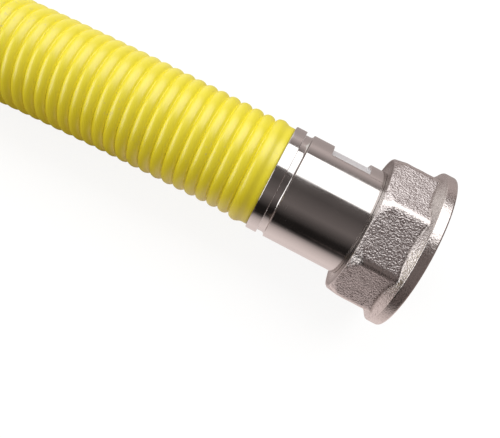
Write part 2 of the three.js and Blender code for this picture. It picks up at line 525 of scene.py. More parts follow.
class Effects:
    """Effects that several finishes share, each a shader node group."""

    def __init__(self) -> None:
        """Builds every group once."""
        self.grain = self._grain()
        self.turning = self._turning()
        self.specks = self._specks()
        self.drift = self._drift()

    @staticmethod
    def _open(
        name: str, inputs: dict[str, float], outputs: list[str]
    ) -> tuple[Tree, Outputs, bpy.types.Node]:
        """A new group with named sockets, which are numbers unless they are called Colour.

        Args:
            name: The group's name.
            inputs: Its inputs with their usual values.
            outputs: Its outputs.

        Returns:
            The tree, what its input node gives and its output node.
        """
        shared = bpy.data.node_groups.new(name, "ShaderNodeTree")
        sides = [(label, "INPUT") for label in inputs] + [(label, "OUTPUT") for label in outputs]
        for label, side in sides:
            kind = "NodeSocketColor" if label == "Colour" else "NodeSocketFloat"
            socket = shared.interface.new_socket(name=label, in_out=side, socket_type=kind)
            if side == "INPUT" and label != "Colour":
                socket.default_value = inputs[label]
        tree = Tree(shared)
        return tree, tree.node("NodeGroupInput").outputs, tree.node("NodeGroupOutput")

    def _grain(self) -> bpy.types.NodeTree:
        """Cast skin: rounded bumps of one size over softer unevenness. Gives height and pits.

        Formula: height = 1.3 × noise + 0.5 × bump, and pits come where the noise is low.
        """
        tree, given, out = self._open("Cast skin", {"Scale": 2000.0}, ["Height", "Pits"])
        place = tree.place()
        coarse = tree.noise(place, given["Scale"], 3.0, 0.62)
        bumps = tree.node("ShaderNodeTexVoronoi", {"Vector": place, "Scale": given["Scale"]}).outputs[0]
        rounded = tree.spread(bumps, (0.1, 0.8), (1.0, 0.0))
        tree.link(tree.add(tree.times(coarse, 1.3), tree.times(rounded, 0.5)), out, "Height")
        tree.link(tree.spread(coarse, (0.5, 0.34)), out, "Pits")
        return tree.tree

    def _turning(self) -> bpy.types.NodeTree:
        """Turning lines: fine rings around a turned piece, from the distance along it.

        Formula: height = a noise of the distance alone, and sheen = half of it + half of a slow cloud.
        """
        tree, given, out = self._open("Turning lines", {"Along": 0.0, "Scale": 5000.0}, ["Height", "Sheen"])
        ring = {"W": given["Along"], "Scale": given["Scale"], "Detail": 3.0}
        lines = tree.node("ShaderNodeTexNoise", ring, noise_dimensions="1D").outputs[0]
        cloud = tree.noise(tree.place(), 90.0, 3.0)
        tree.link(lines, out, "Height")
        tree.link(tree.add(tree.times(lines, 0.5), tree.times(cloud, 0.5)), out, "Sheen")
        return tree.tree

    def _specks(self) -> bpy.types.NodeTree:
        """Specks and short scuffs. Gives their mask.

        Formula: mask = 14 × (fine noise − (0.86 − amount × slow noise)), held between 0 and 1, so
        there are more of them where the slow noise is high.
        """
        tree, given, out = self._open("Specks", {"Scale": 700.0, "Amount": 0.3}, ["Mask"])
        place = tree.place()
        fine = tree.noise(place, given["Scale"], 4.0, 0.7)
        edge = tree.math("SUBTRACT", 0.86, tree.times(given["Amount"], tree.noise(place, 45.0)))
        mask = tree.times(tree.math("SUBTRACT", fine, edge), 14.0)
        tree.link(tree.node("ShaderNodeClamp", {"Value": mask}).outputs[0], out, "Mask")
        return tree.tree

    def _drift(self) -> bpy.types.NodeTree:
        """Slow drift of a colour's lightness over the piece: × (1 + amount × (noise − 0.5))."""
        usual = {"Colour": 0.0, "Scale": 60.0, "Amount": 0.1}
        tree, given, out = self._open("Colour drift", usual, ["Colour"])
        slow = tree.noise(tree.place(), given["Scale"], 3.0)
        value = tree.add(1.0, tree.times(tree.math("SUBTRACT", slow, 0.5), given["Amount"]))
        shade = {"Color": given["Colour"], "Value": value}
        tree.link(tree.node("ShaderNodeHueSaturation", shade).outputs[0], out, "Colour")
        return tree.tree


def principled(name: str, inputs: dict[str, object]) -> tuple[bpy.types.Material, Tree, bpy.types.Node]:
    """A material with one Principled BSDF.

    Args:
        name: The material's name.
        inputs: Plain values of the shader.

    Returns:
        The material, its tree and the shader node.
    """
    material = bpy.data.materials.new(name)
    material.use_nodes = True
    shader = material.node_tree.nodes["Principled BSDF"]
    for key, value in inputs.items():
        shader.inputs[key].default_value = value
    return material, Tree(material.node_tree), shader


@dataclass(frozen=True)
class Wear:
    """Slow drift of a finish's colour, and its specks: scales of their noise, amounts and effect."""

    drift_scale: float
    drift_amount: float
    speck_scale: float
    speck_amount: float
    speck_share: float
    speck_roughness: float = 0.2

    def place(self, tree: Tree, effects: Effects, base: Socket, scuff: Colour) -> tuple[Socket, Socket]:
        """Places the drift and the specks in a material.

        Formula: colour = the drifted base, mixed with the scuffs' colour by mask × share; added
        roughness = mask × the specks' roughness.

        Args:
            tree: The material's tree.
            effects: The shared effects.
            base: The clean colour.
            scuff: The specks' colour.

        Returns:
            The worn colour and the added roughness.
        """
        drift = tree.group(effects.drift, Colour=base, Scale=self.drift_scale, Amount=self.drift_amount)
        specks = tree.group(effects.specks, Scale=self.speck_scale, Amount=self.speck_amount).outputs["Mask"]
        worn = tree.mix(tree.times(specks, self.speck_share), drift.outputs["Colour"], rgba(scuff))
        return worn, tree.times(specks, self.speck_roughness)


@dataclass(frozen=True)
class YellowPlastic:
    """Soft glossy yellow coating, painted lighter in its grooves against the shade that falls there, with a
    few scuffs.
    """

    crest: Colour = (0.81, 0.70, 0.007)
    groove_painted_light: Colour = (0.96, 0.83, 0.01)
    scuff: Colour = (0.62, 0.52, 0.22)
    specular: float = 1.0
    refraction: float = 1.58
    roughness: Spot = (0.3, 0.12)
    roughness_scale: float = 220.0
    skin_scale: float = 1500.0
    skin_height: float = 0.05 * MM
    skin_strength: float = 0.12
    wear: Wear = Wear(80.0, 0.12, 900.0, 0.42, 0.6)

    def material(self, effects: Effects) -> bpy.types.Material:
        """Makes the material. Roughness = its first value + its second × a slow noise + the specks'."""
        gloss = {"Specular IOR Level": self.specular, "IOR": self.refraction}
        material, tree, shader = principled("Yellow plastic", gloss)
        # Painted light: the groove colour is lighter than the crest's, to cancel the shade that falls in the
        # grooves.
        base = tree.mix(tree.mark("groove_painted_light"), rgba(self.crest), rgba(self.groove_painted_light))
        worn, speck_rough = self.wear.place(tree, effects, base, self.scuff)
        tree.link(worn, shader, "Base Color")
        cloud = tree.noise(tree.place(), self.roughness_scale, 3.0)
        rough = tree.add(self.roughness[0], tree.times(cloud, self.roughness[1]))
        tree.link(tree.add(rough, speck_rough), shader, "Roughness")
        skin = tree.noise(tree.place(), self.skin_scale)
        tree.link(tree.bump(skin, self.skin_strength, self.skin_height), shader, "Normal")
        return material


# Span of the turning lines' sheen that a finish's roughness follows
SHEEN_SPAN = (0.3, 0.7)


@dataclass(frozen=True)
class TurnedSteel:
    """Steel with fine turning lines, satin where it was milled, and there painted pale and bluish, a painted
    reflection.
    """

    name: str = "Polished steel"
    colour: Colour = (0.66, 0.635, 0.62)
    milled_painted_pale: Colour = (0.92, 0.94, 0.96)
    roughness: Spot = (0.06, 0.17)
    line_strength: float = 0.12
    line_height: float = 0.02 * MM
    line_scale: float = 5200.0
    milled_roughness: float = 0.5
    wear: Wear = Wear(110.0, 0.1, 1100.0, 0.36, 0.35)

    def material(self, effects: Effects) -> bpy.types.Material:
        """Makes the material. Roughness follows the lines' sheen between two values, and the milled
        mark and the specks add to it."""
        material, tree, shader = principled(self.name, {"Metallic": 1.0})
        turning = tree.group(effects.turning, Along=tree.along(), Scale=self.line_scale).outputs
        milled_painted_pale = tree.mark("milled_painted_pale")
        # The milled colour is a painted reflection, near white and bluish and paler than any steel; the
        # roughness added there is real.
        base = tree.mix(milled_painted_pale, rgba(self.colour), rgba(self.milled_painted_pale))
        worn, speck_rough = self.wear.place(tree, effects, base, tuple(0.5 * c for c in self.colour))
        tree.link(worn, shader, "Base Color")
        rough = tree.add(tree.spread(turning["Sheen"], SHEEN_SPAN, self.roughness), speck_rough)
        tree.link(tree.add(rough, tree.times(milled_painted_pale, self.milled_roughness)), shader, "Roughness")
        lines = tree.bump(turning["Height"], self.line_strength, self.line_height)
        tree.link(lines, shader, "Normal")
        return material


@dataclass(frozen=True)
class CastNickel:
    """Nickel plate over a rough casting, bright where the nut was machined or its corners are rubbed,
    and with painted shade in its crevices and on its back face."""

    cast: Colour = (0.665, 0.62, 0.61)
    pit: Colour = (0.22, 0.175, 0.17)
    crevice_shade: Colour = (0.14, 0.10, 0.085)
    machined: Colour = (0.70, 0.655, 0.63)
    pit_share: float = 0.75
    crevice_share: float = 0.8
    drift_scale: float = 150.0
    drift_amount: float = 0.14
    cast_roughness: float = 0.31
    machined_roughness: Spot = (0.15, 0.28)
    grain_scale: float = 1600.0
    grain_height: float = 0.19
    grain_fade: float = 1.5
    line_scale: float = 4200.0
    line_height: float = 0.004

    def material(self, effects: Effects) -> bpy.types.Material:
        """Makes the material.

        Formula: height = grain × its height × (1 − machined)^fade + lines × their height × machined,
        in millimetres.
        """
        material, tree, shader = principled("Cast nickel", {"Metallic": 1.0})
        smooth = tree.mark("machined")
        grain = tree.group(effects.grain, Scale=self.grain_scale).outputs
        turning = tree.group(effects.turning, Along=tree.along(), Scale=self.line_scale).outputs
        clean = tree.mix(tree.times(grain["Pits"], self.pit_share), rgba(self.cast), rgba(self.pit))
        # Painted shade: the crevice colour darkens the concave corners and the back face, where shade falls.
        painted_shade = tree.times(tree.mark("crevice_shade"), self.crevice_share)
        base = tree.mix(painted_shade, clean, rgba(self.crevice_shade))
        drift = tree.group(effects.drift, Colour=base, Scale=self.drift_scale, Amount=self.drift_amount)
        colour = tree.mix(smooth, drift.outputs["Colour"], rgba(self.machined))
        tree.link(colour, shader, "Base Color")
        sheen = tree.spread(turning["Sheen"], SHEEN_SPAN, self.machined_roughness)
        rough = tree.node("ShaderNodeMix", {0: smooth, 2: self.cast_roughness, 3: sheen}).outputs[0]
        tree.link(rough, shader, "Roughness")
        cast_share = tree.math("POWER", tree.math("SUBTRACT", 1.0, smooth), self.grain_fade)
        cast_height = tree.times(tree.times(grain["Height"], cast_share), self.grain_height)
        turned_height = tree.times(tree.times(turning["Height"], smooth), self.line_height)
        tree.link(tree.bump(tree.add(cast_height, turned_height), 1.0, MM), shader, "Normal")
        return material


@dataclass(frozen=True)
class Fibre:
    """Dark pressed fibre of the flat gasket."""

    dark: Colour = (0.035, 0.042, 0.045)
    light: Colour = (0.10, 0.11, 0.11)
    light_span: Spot = (0.4, 0.65)
    roughness: float = 0.85
    strand_scale: float = 1400.0
    strand_height: float = 0.08 * MM

    def material(self) -> bpy.types.Material:
        """Makes the material: strands of noise that are lighter where they stand higher."""
        material, tree, shader = principled("Fibre", {"Roughness": self.roughness})
        strands = tree.noise(tree.place(), self.strand_scale, 5.0, 0.7)
        colour = tree.mix(tree.spread(strands, self.light_span), rgba(self.dark), rgba(self.light))
        tree.link(colour, shader, "Base Color")
        tree.link(tree.bump(strands, 0.5, self.strand_height), shader, "Normal")
        return material


@dataclass(frozen=True)
class Finishes:
    """Every finish of the hose, as materials."""

    yellow: bpy.types.Material
    steel: bpy.types.Material
    tube: bpy.types.Material
    nickel: bpy.types.Material
    fibre: bpy.types.Material

    @classmethod
    def make(cls) -> "Finishes":
        """Builds the shared effects and every material."""
        effects = Effects()
        drawn = (0.55, 0.54, 0.53)
        tube = TurnedSteel("Tube steel", drawn, drawn, (0.26, 0.37), 0.3)
        return cls(
            YellowPlastic().material(effects),
            TurnedSteel().material(effects),
            tube.material(effects),
            CastNickel().material(effects),
            Fibre().material(),
        )


def dress(piece: bpy.types.Object, material: bpy.types.Material, body: Body, slot: Slot, node: str) -> None:
    """Gives a piece its finish, and has it stand for a node of the part.

    Args:
        piece: The new piece.
        material: Its finish.
        body: The body that it moves with.
        slot: The record's slot of that finish; not used.
        node: The node that it replaces.
    """
    piece.data.materials.append(material)
    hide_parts(node)
    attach(piece, body.value)
    LOG.info("%s: %d faces, stands for %s", piece.name, len(piece.data.polygons), node)


@dataclass
class Ribs:
    """The hose's rings, in millimetres. Each has a broad crest and a narrow groove on each side."""

    pitch: float = 4.13
    fat_ring: float = 5.2
    cuff: float = 1.6

    def edges(self, length_mm: float) -> tuple[float, float, int]:
        """Where the plain rings begin, their true pitch and their number.

        Args:
            length_mm: Length of the coating.

        Returns:
            Distance of the first plain ring's start, pitch and count.
        """
        start = self.cuff + self.fat_ring
        span = length_mm - 2 * start
        count = round(span / self.pitch)
        return start, span / count, count


@dataclass
class YellowCoating:
    """Yellow coating: a plain cuff, a fat last ring and then plain rings, the same from both ends."""

    ribs: Ribs = field(default_factory=Ribs)
    crest_radius: float = 17.75
    groove_depth: float = 1.2
    fat_radius: float = 18.25
    cuff_radius: float = 17.45
    wall: float = 1.5
    columns: int = 72
    wavers: tuple[Waver, ...] = ((0.035, 11, 9.0, (1, 5)), (0.03, 12, 60.0, (1, 3)))

    def drop(self, across: np.ndarray) -> np.ndarray:
        """How far a ring's surface lies below its crest.

        Formula: a shallow bow, 0.72 × depth × across², and a narrow groove, 0.28 × depth × across⁸,
        where across runs from −1 to 1 over the ring.

        Args:
            across: Place on the ring.

        Returns:
            The drop, in millimetres.
        """
        return self.groove_depth * (0.72 * across**2 + 0.28 * np.abs(across) ** 8)

    def rings(self, length_mm: float, steps: np.ndarray) -> tuple[np.ndarray, np.ndarray]:
        """Rows of the plain rings.

        Args:
            length_mm: Length of the coating.
            steps: Places on each ring, from −1 and short of 1.

        Returns:
            Distance along and radius of each row, in millimetres.
        """
        start, pitch, count = self.ribs.edges(length_mm)
        middle = start + pitch * (np.arange(count) + 0.5)
        along = (middle[:, None] + 0.5 * pitch * steps).ravel()
        radius = np.tile(self.crest_radius - self.drop(steps), count)
        return along, radius

    def end(self) -> tuple[np.ndarray, np.ndarray]:
        """Rows of the cuff and the fat ring at one end, in millimetres."""
        cuff = [(-0.27, self.cuff_radius - 0.2), (-0.15, self.cuff_radius), (0.9, self.cuff_radius)]
        cuff_along, cuff_radius = np.array(cuff).T
        across = np.linspace(-1.0, 1.0, 17)[:-1]
        fat_along = self.ribs.cuff + 0.5 * self.ribs.fat_ring * (across + 1)
        ring_root = self.crest_radius - self.groove_depth
        shoulder = (self.fat_radius - self.cuff_radius) * 0.5 * (1 - np.cos(np.pi * across))
        side = (self.fat_radius - ring_root) * (0.5 * across**2 + 0.5 * np.abs(across) ** 7)
        fat_radius = self.fat_radius - np.where(across < 0, shoulder, side)
        return np.append(cuff_along, fat_along), np.append(cuff_radius, fat_radius)

    def rows(self, length_mm: float) -> tuple[np.ndarray, np.ndarray, np.ndarray]:
        """Rows of the whole coating: the outside from the near end to the far end, then the inside back.

        Args:
            length_mm: Length of the coating.

        Returns:
            Distance along, radius in millimetres, and how deep in a groove each row is.
        """
        end_along, end_radius = self.end()
        fine = np.array([-1.0, -0.9, -0.74, -0.5, -0.18, 0.18, 0.5, 0.74, 0.9])
        ring_along, ring_radius = self.rings(length_mm, fine)
        last_groove = length_mm - self.ribs.edges(length_mm)[0]
        outer_along = np.concatenate([end_along, ring_along, [last_groove], (length_mm - end_along)[::-1]])
        outer_radius = np.concatenate([end_radius, ring_radius, [ring_radius[0]], end_radius[::-1]])
        coarse = np.array([-1.0, -0.5, 0.0, 0.5])
        inner_along, inner_radius = self.rings(length_mm, coarse)
        crest = [self.crest_radius]
        inner_along = np.concatenate([[0.0], inner_along, [length_mm]])[::-1]
        inner_radius = np.concatenate([crest, inner_radius, crest])[::-1] - self.wall
        # How deep in a groove each row is: the share of painted light that the coating gets there.
        groove_painted_light = np.clip((self.crest_radius - outer_radius) / self.groove_depth, 0.0, 1.0) ** 1.5
        along = np.concatenate([outer_along, inner_along])
        radius = np.concatenate([outer_radius, inner_radius])
        return along, radius, np.concatenate([groove_painted_light, np.ones(len(inner_along))])

    def build(self, route: HoseRoute) -> bpy.types.Object:
        """Makes the coating, with the slight unevenness of a coating drawn over rings.

        Args:
            route: The hose's centre line.

        Returns:
            The new object.
        """
        along, radius, groove_painted_light = self.rows(route.length / MM)
        angle = even_turn(self.columns)
        uneven = sum(waver(along, angle, layer) for layer in self.wavers)
        rings = (radius[:, None] + uneven) * MM
        marks = {"groove_painted_light": np.repeat(groove_painted_light[:, None], self.columns, axis=1)}
        return RingSurface("hose_coating", route, along * MM, rings, angle, None, marks).build()


@dataclass
class CorrugatedTube:
    """Thin steel tube inside the coating, with a ring under each ring of the coating."""

    ribs: Ribs = field(default_factory=Ribs)
    crest_radius: float = 15.9
    root_radius: float = 13.3
    wall: float = 0.3
    columns: int = 40
    rows_a_ring: int = 6

    def build(self, route: HoseRoute, reach: float) -> bpy.types.Object:
        """Makes the tube.

        Formula: radius = middle + half height × cos(π × place on the ring), and the inside is one wall
        less.

        Args:
            route: The hose's centre line.
            reach: How far the tube runs on into each end ring.

        Returns:
            The new object.
        """
        length_mm = route.length / MM
        start, pitch, _ = self.ribs.edges(length_mm)
        span = np.array([-reach / MM, length_mm + reach / MM])
        count = int(round((span[1] - span[0]) / pitch)) * self.rows_a_ring
        outer_along = np.linspace(span[0], span[1], count)
        wave = np.cos(2 * np.pi * (outer_along - start - 0.5 * pitch) / pitch)
        middle = 0.5 * (self.crest_radius + self.root_radius)
        outer_radius = middle + 0.5 * (self.crest_radius - self.root_radius) * wave
        along = np.concatenate([outer_along, outer_along[::-1]]) * MM
        radius = np.concatenate([outer_radius, outer_radius[::-1] - self.wall]) * MM
        rings = np.repeat(radius[:, None], self.columns, axis=1)
        return RingSurface("hose_tube", route, along, rings, even_turn(self.columns), None).build()


# Distances back, radii, shares of machining and shares of painted crevice shade of some rows
Section = tuple[Sequence[float], Sequence[float], Sequence[float], Sequence[float]]


@dataclass
class UnionNut:
    """Octagonal union nut, in millimetres back from its mouth: cast flats, turned rim, G1 thread inside."""

    length: float = 20.0
    across_flats: float = 46.9
    corner_radius: float = 2.6
    back_face_radius: float = 23.5
    back_slope_deg: float = 64.5
    back_edge: float = 0.3
    rim_radius: float = 26.9
    rim_width: float = 3.7
    rim_edge: float = 0.5
    rim_smoothness: float = 0.42
    strip_smoothness: float = 0.65
    corner_smoothness: float = 0.6
    corner_wear: Spot = (0.25, 0.15)
    rim_back_slope_deg: float = 49.0
    slope_fade: float = 0.8
    slope_rounding: float = 0.5
    chamfer_rounding: float = 0.15
    crevice_reach: float = 0.8
    wavers: tuple[Waver, ...] = ((0.07, 21, 7.0, (9, 22)), (0.05, 22, 4.0, (20, 36)))
    thread_minor: float = 15.15
    thread_depth: float = 1.48
    thread_pitch: float = 2.309
    thread_lead: float = 1.6
    thread_length: float = 12.4
    relief_radius: float = 16.75
    floor_back: float = 16.1
    hole_radius: float = 13.62
    hole_edge: float = 0.4
    turn_deg: float = -14.4

    def columns(self) -> np.ndarray:
        """Angles around the nut, closer together at its eight corners."""
        t = np.linspace(-1.0, 1.0, 29)[:-1]
        across = np.sign(t) * (1 - (1 - np.abs(t)) ** 1.5) * (np.pi / 8)
        flats = np.arange(8) * (np.pi / 4) + math.radians(self.turn_deg)
        return (flats[:, None] + across).ravel()

    def outline(self, angle: np.ndarray) -> np.ndarray:
        """Radius of the eight-sided outline with rounded corners.

        Formula: on a flat, half the width across flats divided by the cosine of the angle from its
        middle; at a corner, the far side of a circle centred on the corner's line.

        Args:
            angle: Angles from straight up.

        Returns:
            The radius at each angle.
        """
        eighth = np.pi / 4
        from_flat = (angle - math.radians(self.turn_deg) + eighth / 2) % eighth - eighth / 2
        half = self.across_flats / 2
        centre = (half - self.corner_radius) / math.cos(eighth / 2)
        from_corner = eighth / 2 - np.abs(from_flat)
        flat_end = math.atan2(centre * math.sin(eighth / 2), half)
        reach = np.sqrt(np.maximum(self.corner_radius**2 - (centre * np.sin(from_corner)) ** 2, 0.0))
        corner = centre * np.cos(from_corner) + reach
        return np.where(np.abs(from_flat) <= flat_end, half / np.cos(from_flat), corner)

    def thread(self, back: np.ndarray, angle: np.ndarray) -> np.ndarray:
        """Radius of the pipe thread.

        Formula: a rounded triangle wave of back / pitch − turns around, so that one ridge winds around
        once for each pitch, above the minor radius.

        Args:
            back: Distances back from the mouth.
            angle: Angles around.

        Returns:
            One radius for each row and column.
        """
        place = back[:, None] / self.thread_pitch - angle[None, :] / (2 * np.pi)
        wave = 1 - 2 * np.abs(place % 1.0 - 0.5)
        return self.thread_minor + self.thread_depth * (wave**2 * (3 - 2 * wave))

    def build(self, name: str, axis: FittingAxis) -> bpy.types.Object:
        """Makes the nut: the outside from its mouth to its back, then its hole and its thread forwards.

        Args:
            name: Name of the piece.
            axis: The fitting's axis.

        Returns:
            The new object.
        """
        angle = self.columns()
        sections = [self._front(), self._sides(angle), self._back(), self._bore(angle)]
        backs = np.concatenate([np.asarray(section[0], float) for section in sections])
        shape = [(len(section[0]), len(angle)) for section in sections]
        radius, machined, crevice_shade = (
            np.concatenate([
                np.broadcast_to(np.asarray(section[part], float).reshape(size[0], -1), size)
                for section, size in zip(sections, shape)
            ])
            for part in (1, 2, 3)
        )
        marks = {"machined": machined, "crevice_shade": crevice_shade}
        return RingSurface(name, axis, backs * MM, radius * MM, angle, 38.0, marks).build()

    def _front(self) -> Section:
        """The turned face around the mouth, and the rim's own outer face, which is less smooth."""
        rim, edge, width = self.rim_radius, self.rim_edge, self.rim_width
        opening = self.thread_minor + self.thread_lead
        profile = [(0.0, opening), (0.0, 0.5 * (opening + rim)), (0.0, rim - edge)]
        profile += bend((0.0, rim - edge), (0.0, rim), (edge, rim))
        profile += [(edge, rim), (edge + EDGE_ROW, rim), (width - edge - EDGE_ROW, rim), (width - edge, rim)]
        profile += bend((width - edge, rim), (width, rim), (width, rim - edge))
        backs, radii = zip(*profile)
        shares = [1.0 if back < edge else self.strip_smoothness for back in backs]
        return backs, radii, shares, np.zeros(len(backs))

    def _sides(self, angle: np.ndarray) -> Section:
        """The cast sides with the slope up to the rim and the chamfer at the back.

        Formula: the larger of the rim's back slope and the smaller of the outline and the chamfer's
        cone, each change rounded, with a little unevenness. Painted shade darkens the crevice, where the
        slope and the sides lie close together. The slope is smoother than the skin, and so are the eight
        corners, where handling has rubbed them.
        """
        rise = math.tan(math.radians(self.rim_back_slope_deg))
        foot = self.rim_width + (self.rim_radius - self.rim_edge - self.across_flats / 2) / rise
        edge_back = self.length - self.back_edge * (1 - np.sin(np.linspace(0.0, np.pi / 2, 6)))
        plain = [np.linspace(self.rim_width, foot + 1.2, 26), np.linspace(8.6, 13.8, 5)]
        plain += [np.linspace(14.5, self.length - 2 * self.back_edge, 10)]
        back = np.concatenate([*plain, edge_back])
        slope = self.rim_radius - self.rim_edge - rise * (back - self.rim_width)
        cone = self.back_face_radius + (self.length - back) / math.tan(math.radians(self.back_slope_deg))
        corner = self.outline(angle)
        body = smooth_min(corner[None, :], cone[:, None], self.chamfer_rounding)
        past_edge = np.maximum(back - self.length + self.back_edge, 0.0)
        body -= (self.back_edge - np.sqrt(np.maximum(self.back_edge**2 - past_edge**2, 0.0)))[:, None]
        radius = smooth_max(body, slope[:, None], self.slope_rounding)
        # Share of painted shade in the concave corner between the slope and the flats.
        crevice_shade = np.clip(1.0 - np.abs(body - slope[:, None]) / self.crevice_reach, 0.0, 1.0)
        hold = np.clip((back - self.rim_width) / 2, 0.0, 1.0)[:, None]
        uneven = sum(waver(back, angle, layer) for layer in self.wavers)
        on_slope = np.clip((slope - self.across_flats / 2) / self.slope_fade, 0.0, 1.0)
        reach, fade = self.corner_wear
        on_corner = np.clip((corner - corner.max() + reach) / fade, 0.0, 1.0)
        smooth = np.maximum(self.rim_smoothness * on_slope[:, None], self.corner_smoothness * on_corner)
        return back, radius + hold * uneven, smooth, crevice_shade

    def _back(self) -> Section:
        """The back face and the hole that runs on the tail's neck. The back face is painted dark, a painted
        shade.
        """
        hole, length, floor, edge = self.hole_radius, self.length, self.floor_back, self.hole_edge
        profile = [(length, self.back_face_radius - 1.0), (length, hole + edge)]
        profile += bend((length, hole + edge), (length, hole), (length - edge, hole), 2)
        profile += [(length - edge, hole), (floor + edge / 2, hole), (floor, hole + edge / 2)]
        backs, radii = zip(*profile)
        # The back face's two rows carry full painted shade.
        return backs, radii, [0.0] + [1.0] * (len(backs) - 1), [1.0, 1.0] + [0.0] * (len(backs) - 2)

    def _bore(self, angle: np.ndarray) -> Section:
        """The floor, the relief and the thread with its lead-in at the mouth."""
        relief_back = np.array([self.floor_back, self.floor_back - 0.3, self.thread_length + 0.2])
        relief = np.array([self.relief_radius - 0.3, self.relief_radius, self.relief_radius])
        back = np.linspace(self.thread_length, 0.15, 56)
        lead = self.thread_minor + self.thread_lead - back
        ridges = np.maximum(self.thread(back, angle), lead[:, None])
        rings = np.vstack([np.repeat(relief[:, None], len(angle), axis=1), ridges])
        whole = np.concatenate([relief_back, back])
        return whole, rings, np.ones(len(whole)), np.zeros(len(whole))


@dataclass
class Sleeve:
    """Polished sleeve with its turned groove at the back and one milled flat, in millimetres."""

    front: float = 20.03
    radius: float = 18.4
    edge: float = 0.12
    groove_front: float = 46.0
    groove_floor: float = 47.2
    groove_radius: float = 17.3
    back: float = 48.6
    bore_radius: float = 12.7
    spigot_end: float = 30.6
    socket_radius: float = 13.36
    flat_front: float = 25.5
    flat_length: float = 13.2
    flat_depth: float = 2.0
    flat_turn_deg: float = 66.5

    def build(self, name: str, axis: FittingAxis) -> bpy.types.Object:
        """Makes the sleeve.

        Formula: a turned profile, whose radius over the flat's length is at most (radius − depth)
        divided by the cosine of the angle from the flat's middle.

        Args:
            name: Name of the piece.
            axis: The fitting's axis.

        Returns:
            The new object.
        """
        profile, milled_painted_pale = self._profile()
        level = self.radius - self.flat_depth
        half = math.acos(level / self.radius)
        on_flat = np.linspace(-half, half, 29)[:-1]
        off_flat = np.linspace(half, 2 * np.pi - half, 117)[:-1]
        from_flat = np.concatenate([on_flat, off_flat])
        cosine = np.cos(from_flat)
        limit = np.where(np.abs(from_flat) <= half + 1e-9, level / np.maximum(cosine, 0.1), self.radius)
        back, radius = np.array(profile).T
        rings = np.repeat(radius[:, None], len(from_flat), axis=1)
        rings = np.where(np.array(milled_painted_pale)[:, None], np.minimum(rings, limit), rings)
        on_cut = np.array(milled_painted_pale)[:, None] & (np.abs(from_flat) < half - 0.01)[None, :]
        angle = from_flat + math.radians(self.flat_turn_deg)
        # The flat's mark sets its real roughness and its painted pale colour.
        marks = {"milled_painted_pale": on_cut.astype(float)}
        return RingSurface(name, axis, back * MM, rings * MM, angle, 35.0, marks).build()

    def _profile(self) -> tuple[Profile, list[bool]]:
        """The turned profile, and which of its rows the flat is milled into."""
        full, edge, step, lip = self.radius, self.edge, 0.06, 0.05
        flat_back = self.flat_front + self.flat_length
        start: Profile = [(self.front, self.socket_radius), (self.front, full - edge)]
        start += bend((self.front, full - edge), (self.front, full), (self.front + edge, full))
        start += [(self.front + edge, full), (self.front + edge + step, full)]
        start += [(self.flat_front - step, full)]
        middle = 0.5 * (self.flat_front + flat_back)
        cut: Profile = [(self.flat_front, full), (middle, full), (flat_back, full)]
        front, floor, low = self.groove_front, self.groove_floor, self.groove_radius
        rest: Profile = [(flat_back + step, full), (front - step, full), (front, full)]
        rest += [(front + lip, full - lip)]
        rest += bend((front + lip, full - lip), (front + 2 * lip, low), (floor, low), 5)
        rest += [(floor, low), (self.back, low)]
        rest += [(self.back, self.bore_radius), (self.spigot_end, self.bore_radius)]
        rest += [(self.spigot_end, self.socket_radius)]
        return start + cut + rest, [False] * len(start) + [True] * len(cut) + [False] * len(rest)


@dataclass
class Fitting:
    """One end of the hose: nut, gasket, tail, sleeve and end ring on one axis."""

    end: End
    nut: UnionNut = field(default_factory=UnionNut)
    sleeve: Sleeve = field(default_factory=Sleeve)
    ring_front: float = 48.64
    ring_length: float = 3.86
    ring_radius: float = 18.4
    ring_bore: float = 16.28
    ring_edges: Spot = (0.22, 0.45)

    def build(self, finishes: Finishes) -> list[bpy.types.Object]:
        """Makes and dresses every piece of the fitting.

        Args:
            finishes: The materials.

        Returns:
            The pieces.
        """
        axis = FittingAxis(self.end)
        word = self.end.word
        steel = (finishes.steel, Body.HOSE, Slot.STEEL)
        cast = (finishes.nickel, self.end.nut_body, Slot.NUT)
        pressed = (finishes.fibre, Body.HOSE, Slot.GASKET)
        plan = [
            (self.nut.build(f"{word}_nut_cast", axis), *cast, "union_nut"),
            (self.sleeve.build(f"{word}_sleeve_polished", axis), *steel, "sleeve"),
            (turned(f"{word}_tail_turned", axis, self._tail()), *steel, "tail"),
            (turned(f"{word}_ring_turned", axis, self._ring()), *steel, "end_ring"),
            (turned(f"{word}_gasket_pressed", axis, self._gasket()), *pressed, "gasket"),
        ]
        for piece, material, body, slot, node in plan:
            dress(piece, material, body, slot, f"{word}_{node}")
        return [row[0] for row in plan]

    @staticmethod
    def _tail() -> Profile:
        """Profile of the tail: its flat collar in the nut, and the neck that runs into the sleeve."""
        bore, neck, collar, front, back, end = 11.0, 13.0, 14.65, 12.8, 15.8, 30.3
        lead, edge, foot = 0.25, 0.2, 0.15
        profile = [(front + lead, bore), (front, bore + lead)]
        profile += [(front, collar - edge), (front + edge, collar)]
        profile += [(back - edge, collar), (back, collar - edge)]
        profile += [(back, neck + foot), (back + foot, neck), (end - edge, neck), (end, neck - edge)]
        return profile + [(end, bore)]

    @staticmethod
    def _gasket() -> Profile:
        """Profile of the flat gasket: a rectangle whose four edges are cut off."""
        inner, outer, front, back, edge = 10.5, 14.85, 10.5, 12.5, 0.15
        profile = [(front + edge, inner), (front, inner + edge), (front, outer - edge), (front + edge, outer)]
        return profile + [(front + back - place, radius) for place, radius in reversed(profile)]

    def _ring(self) -> Profile:
        """Profile of the end ring, rounded at both outer edges."""
        front, outer, inner = self.ring_front, self.ring_radius, self.ring_bore
        back = front + self.ring_length
        first, last = self.ring_edges
        profile = [(front, inner), (front, outer - first)]
        profile += bend((front, outer - first), (front, outer), (front + first, outer))
        profile += [(front + first, outer), (front + first + EDGE_ROW, outer)]
        profile += [(back - last - EDGE_ROW, outer), (back - last, outer)]
        profile += bend((back - last, outer), (back, outer), (back, outer - last))
        return profile + [(back, outer - last), (back, inner)]


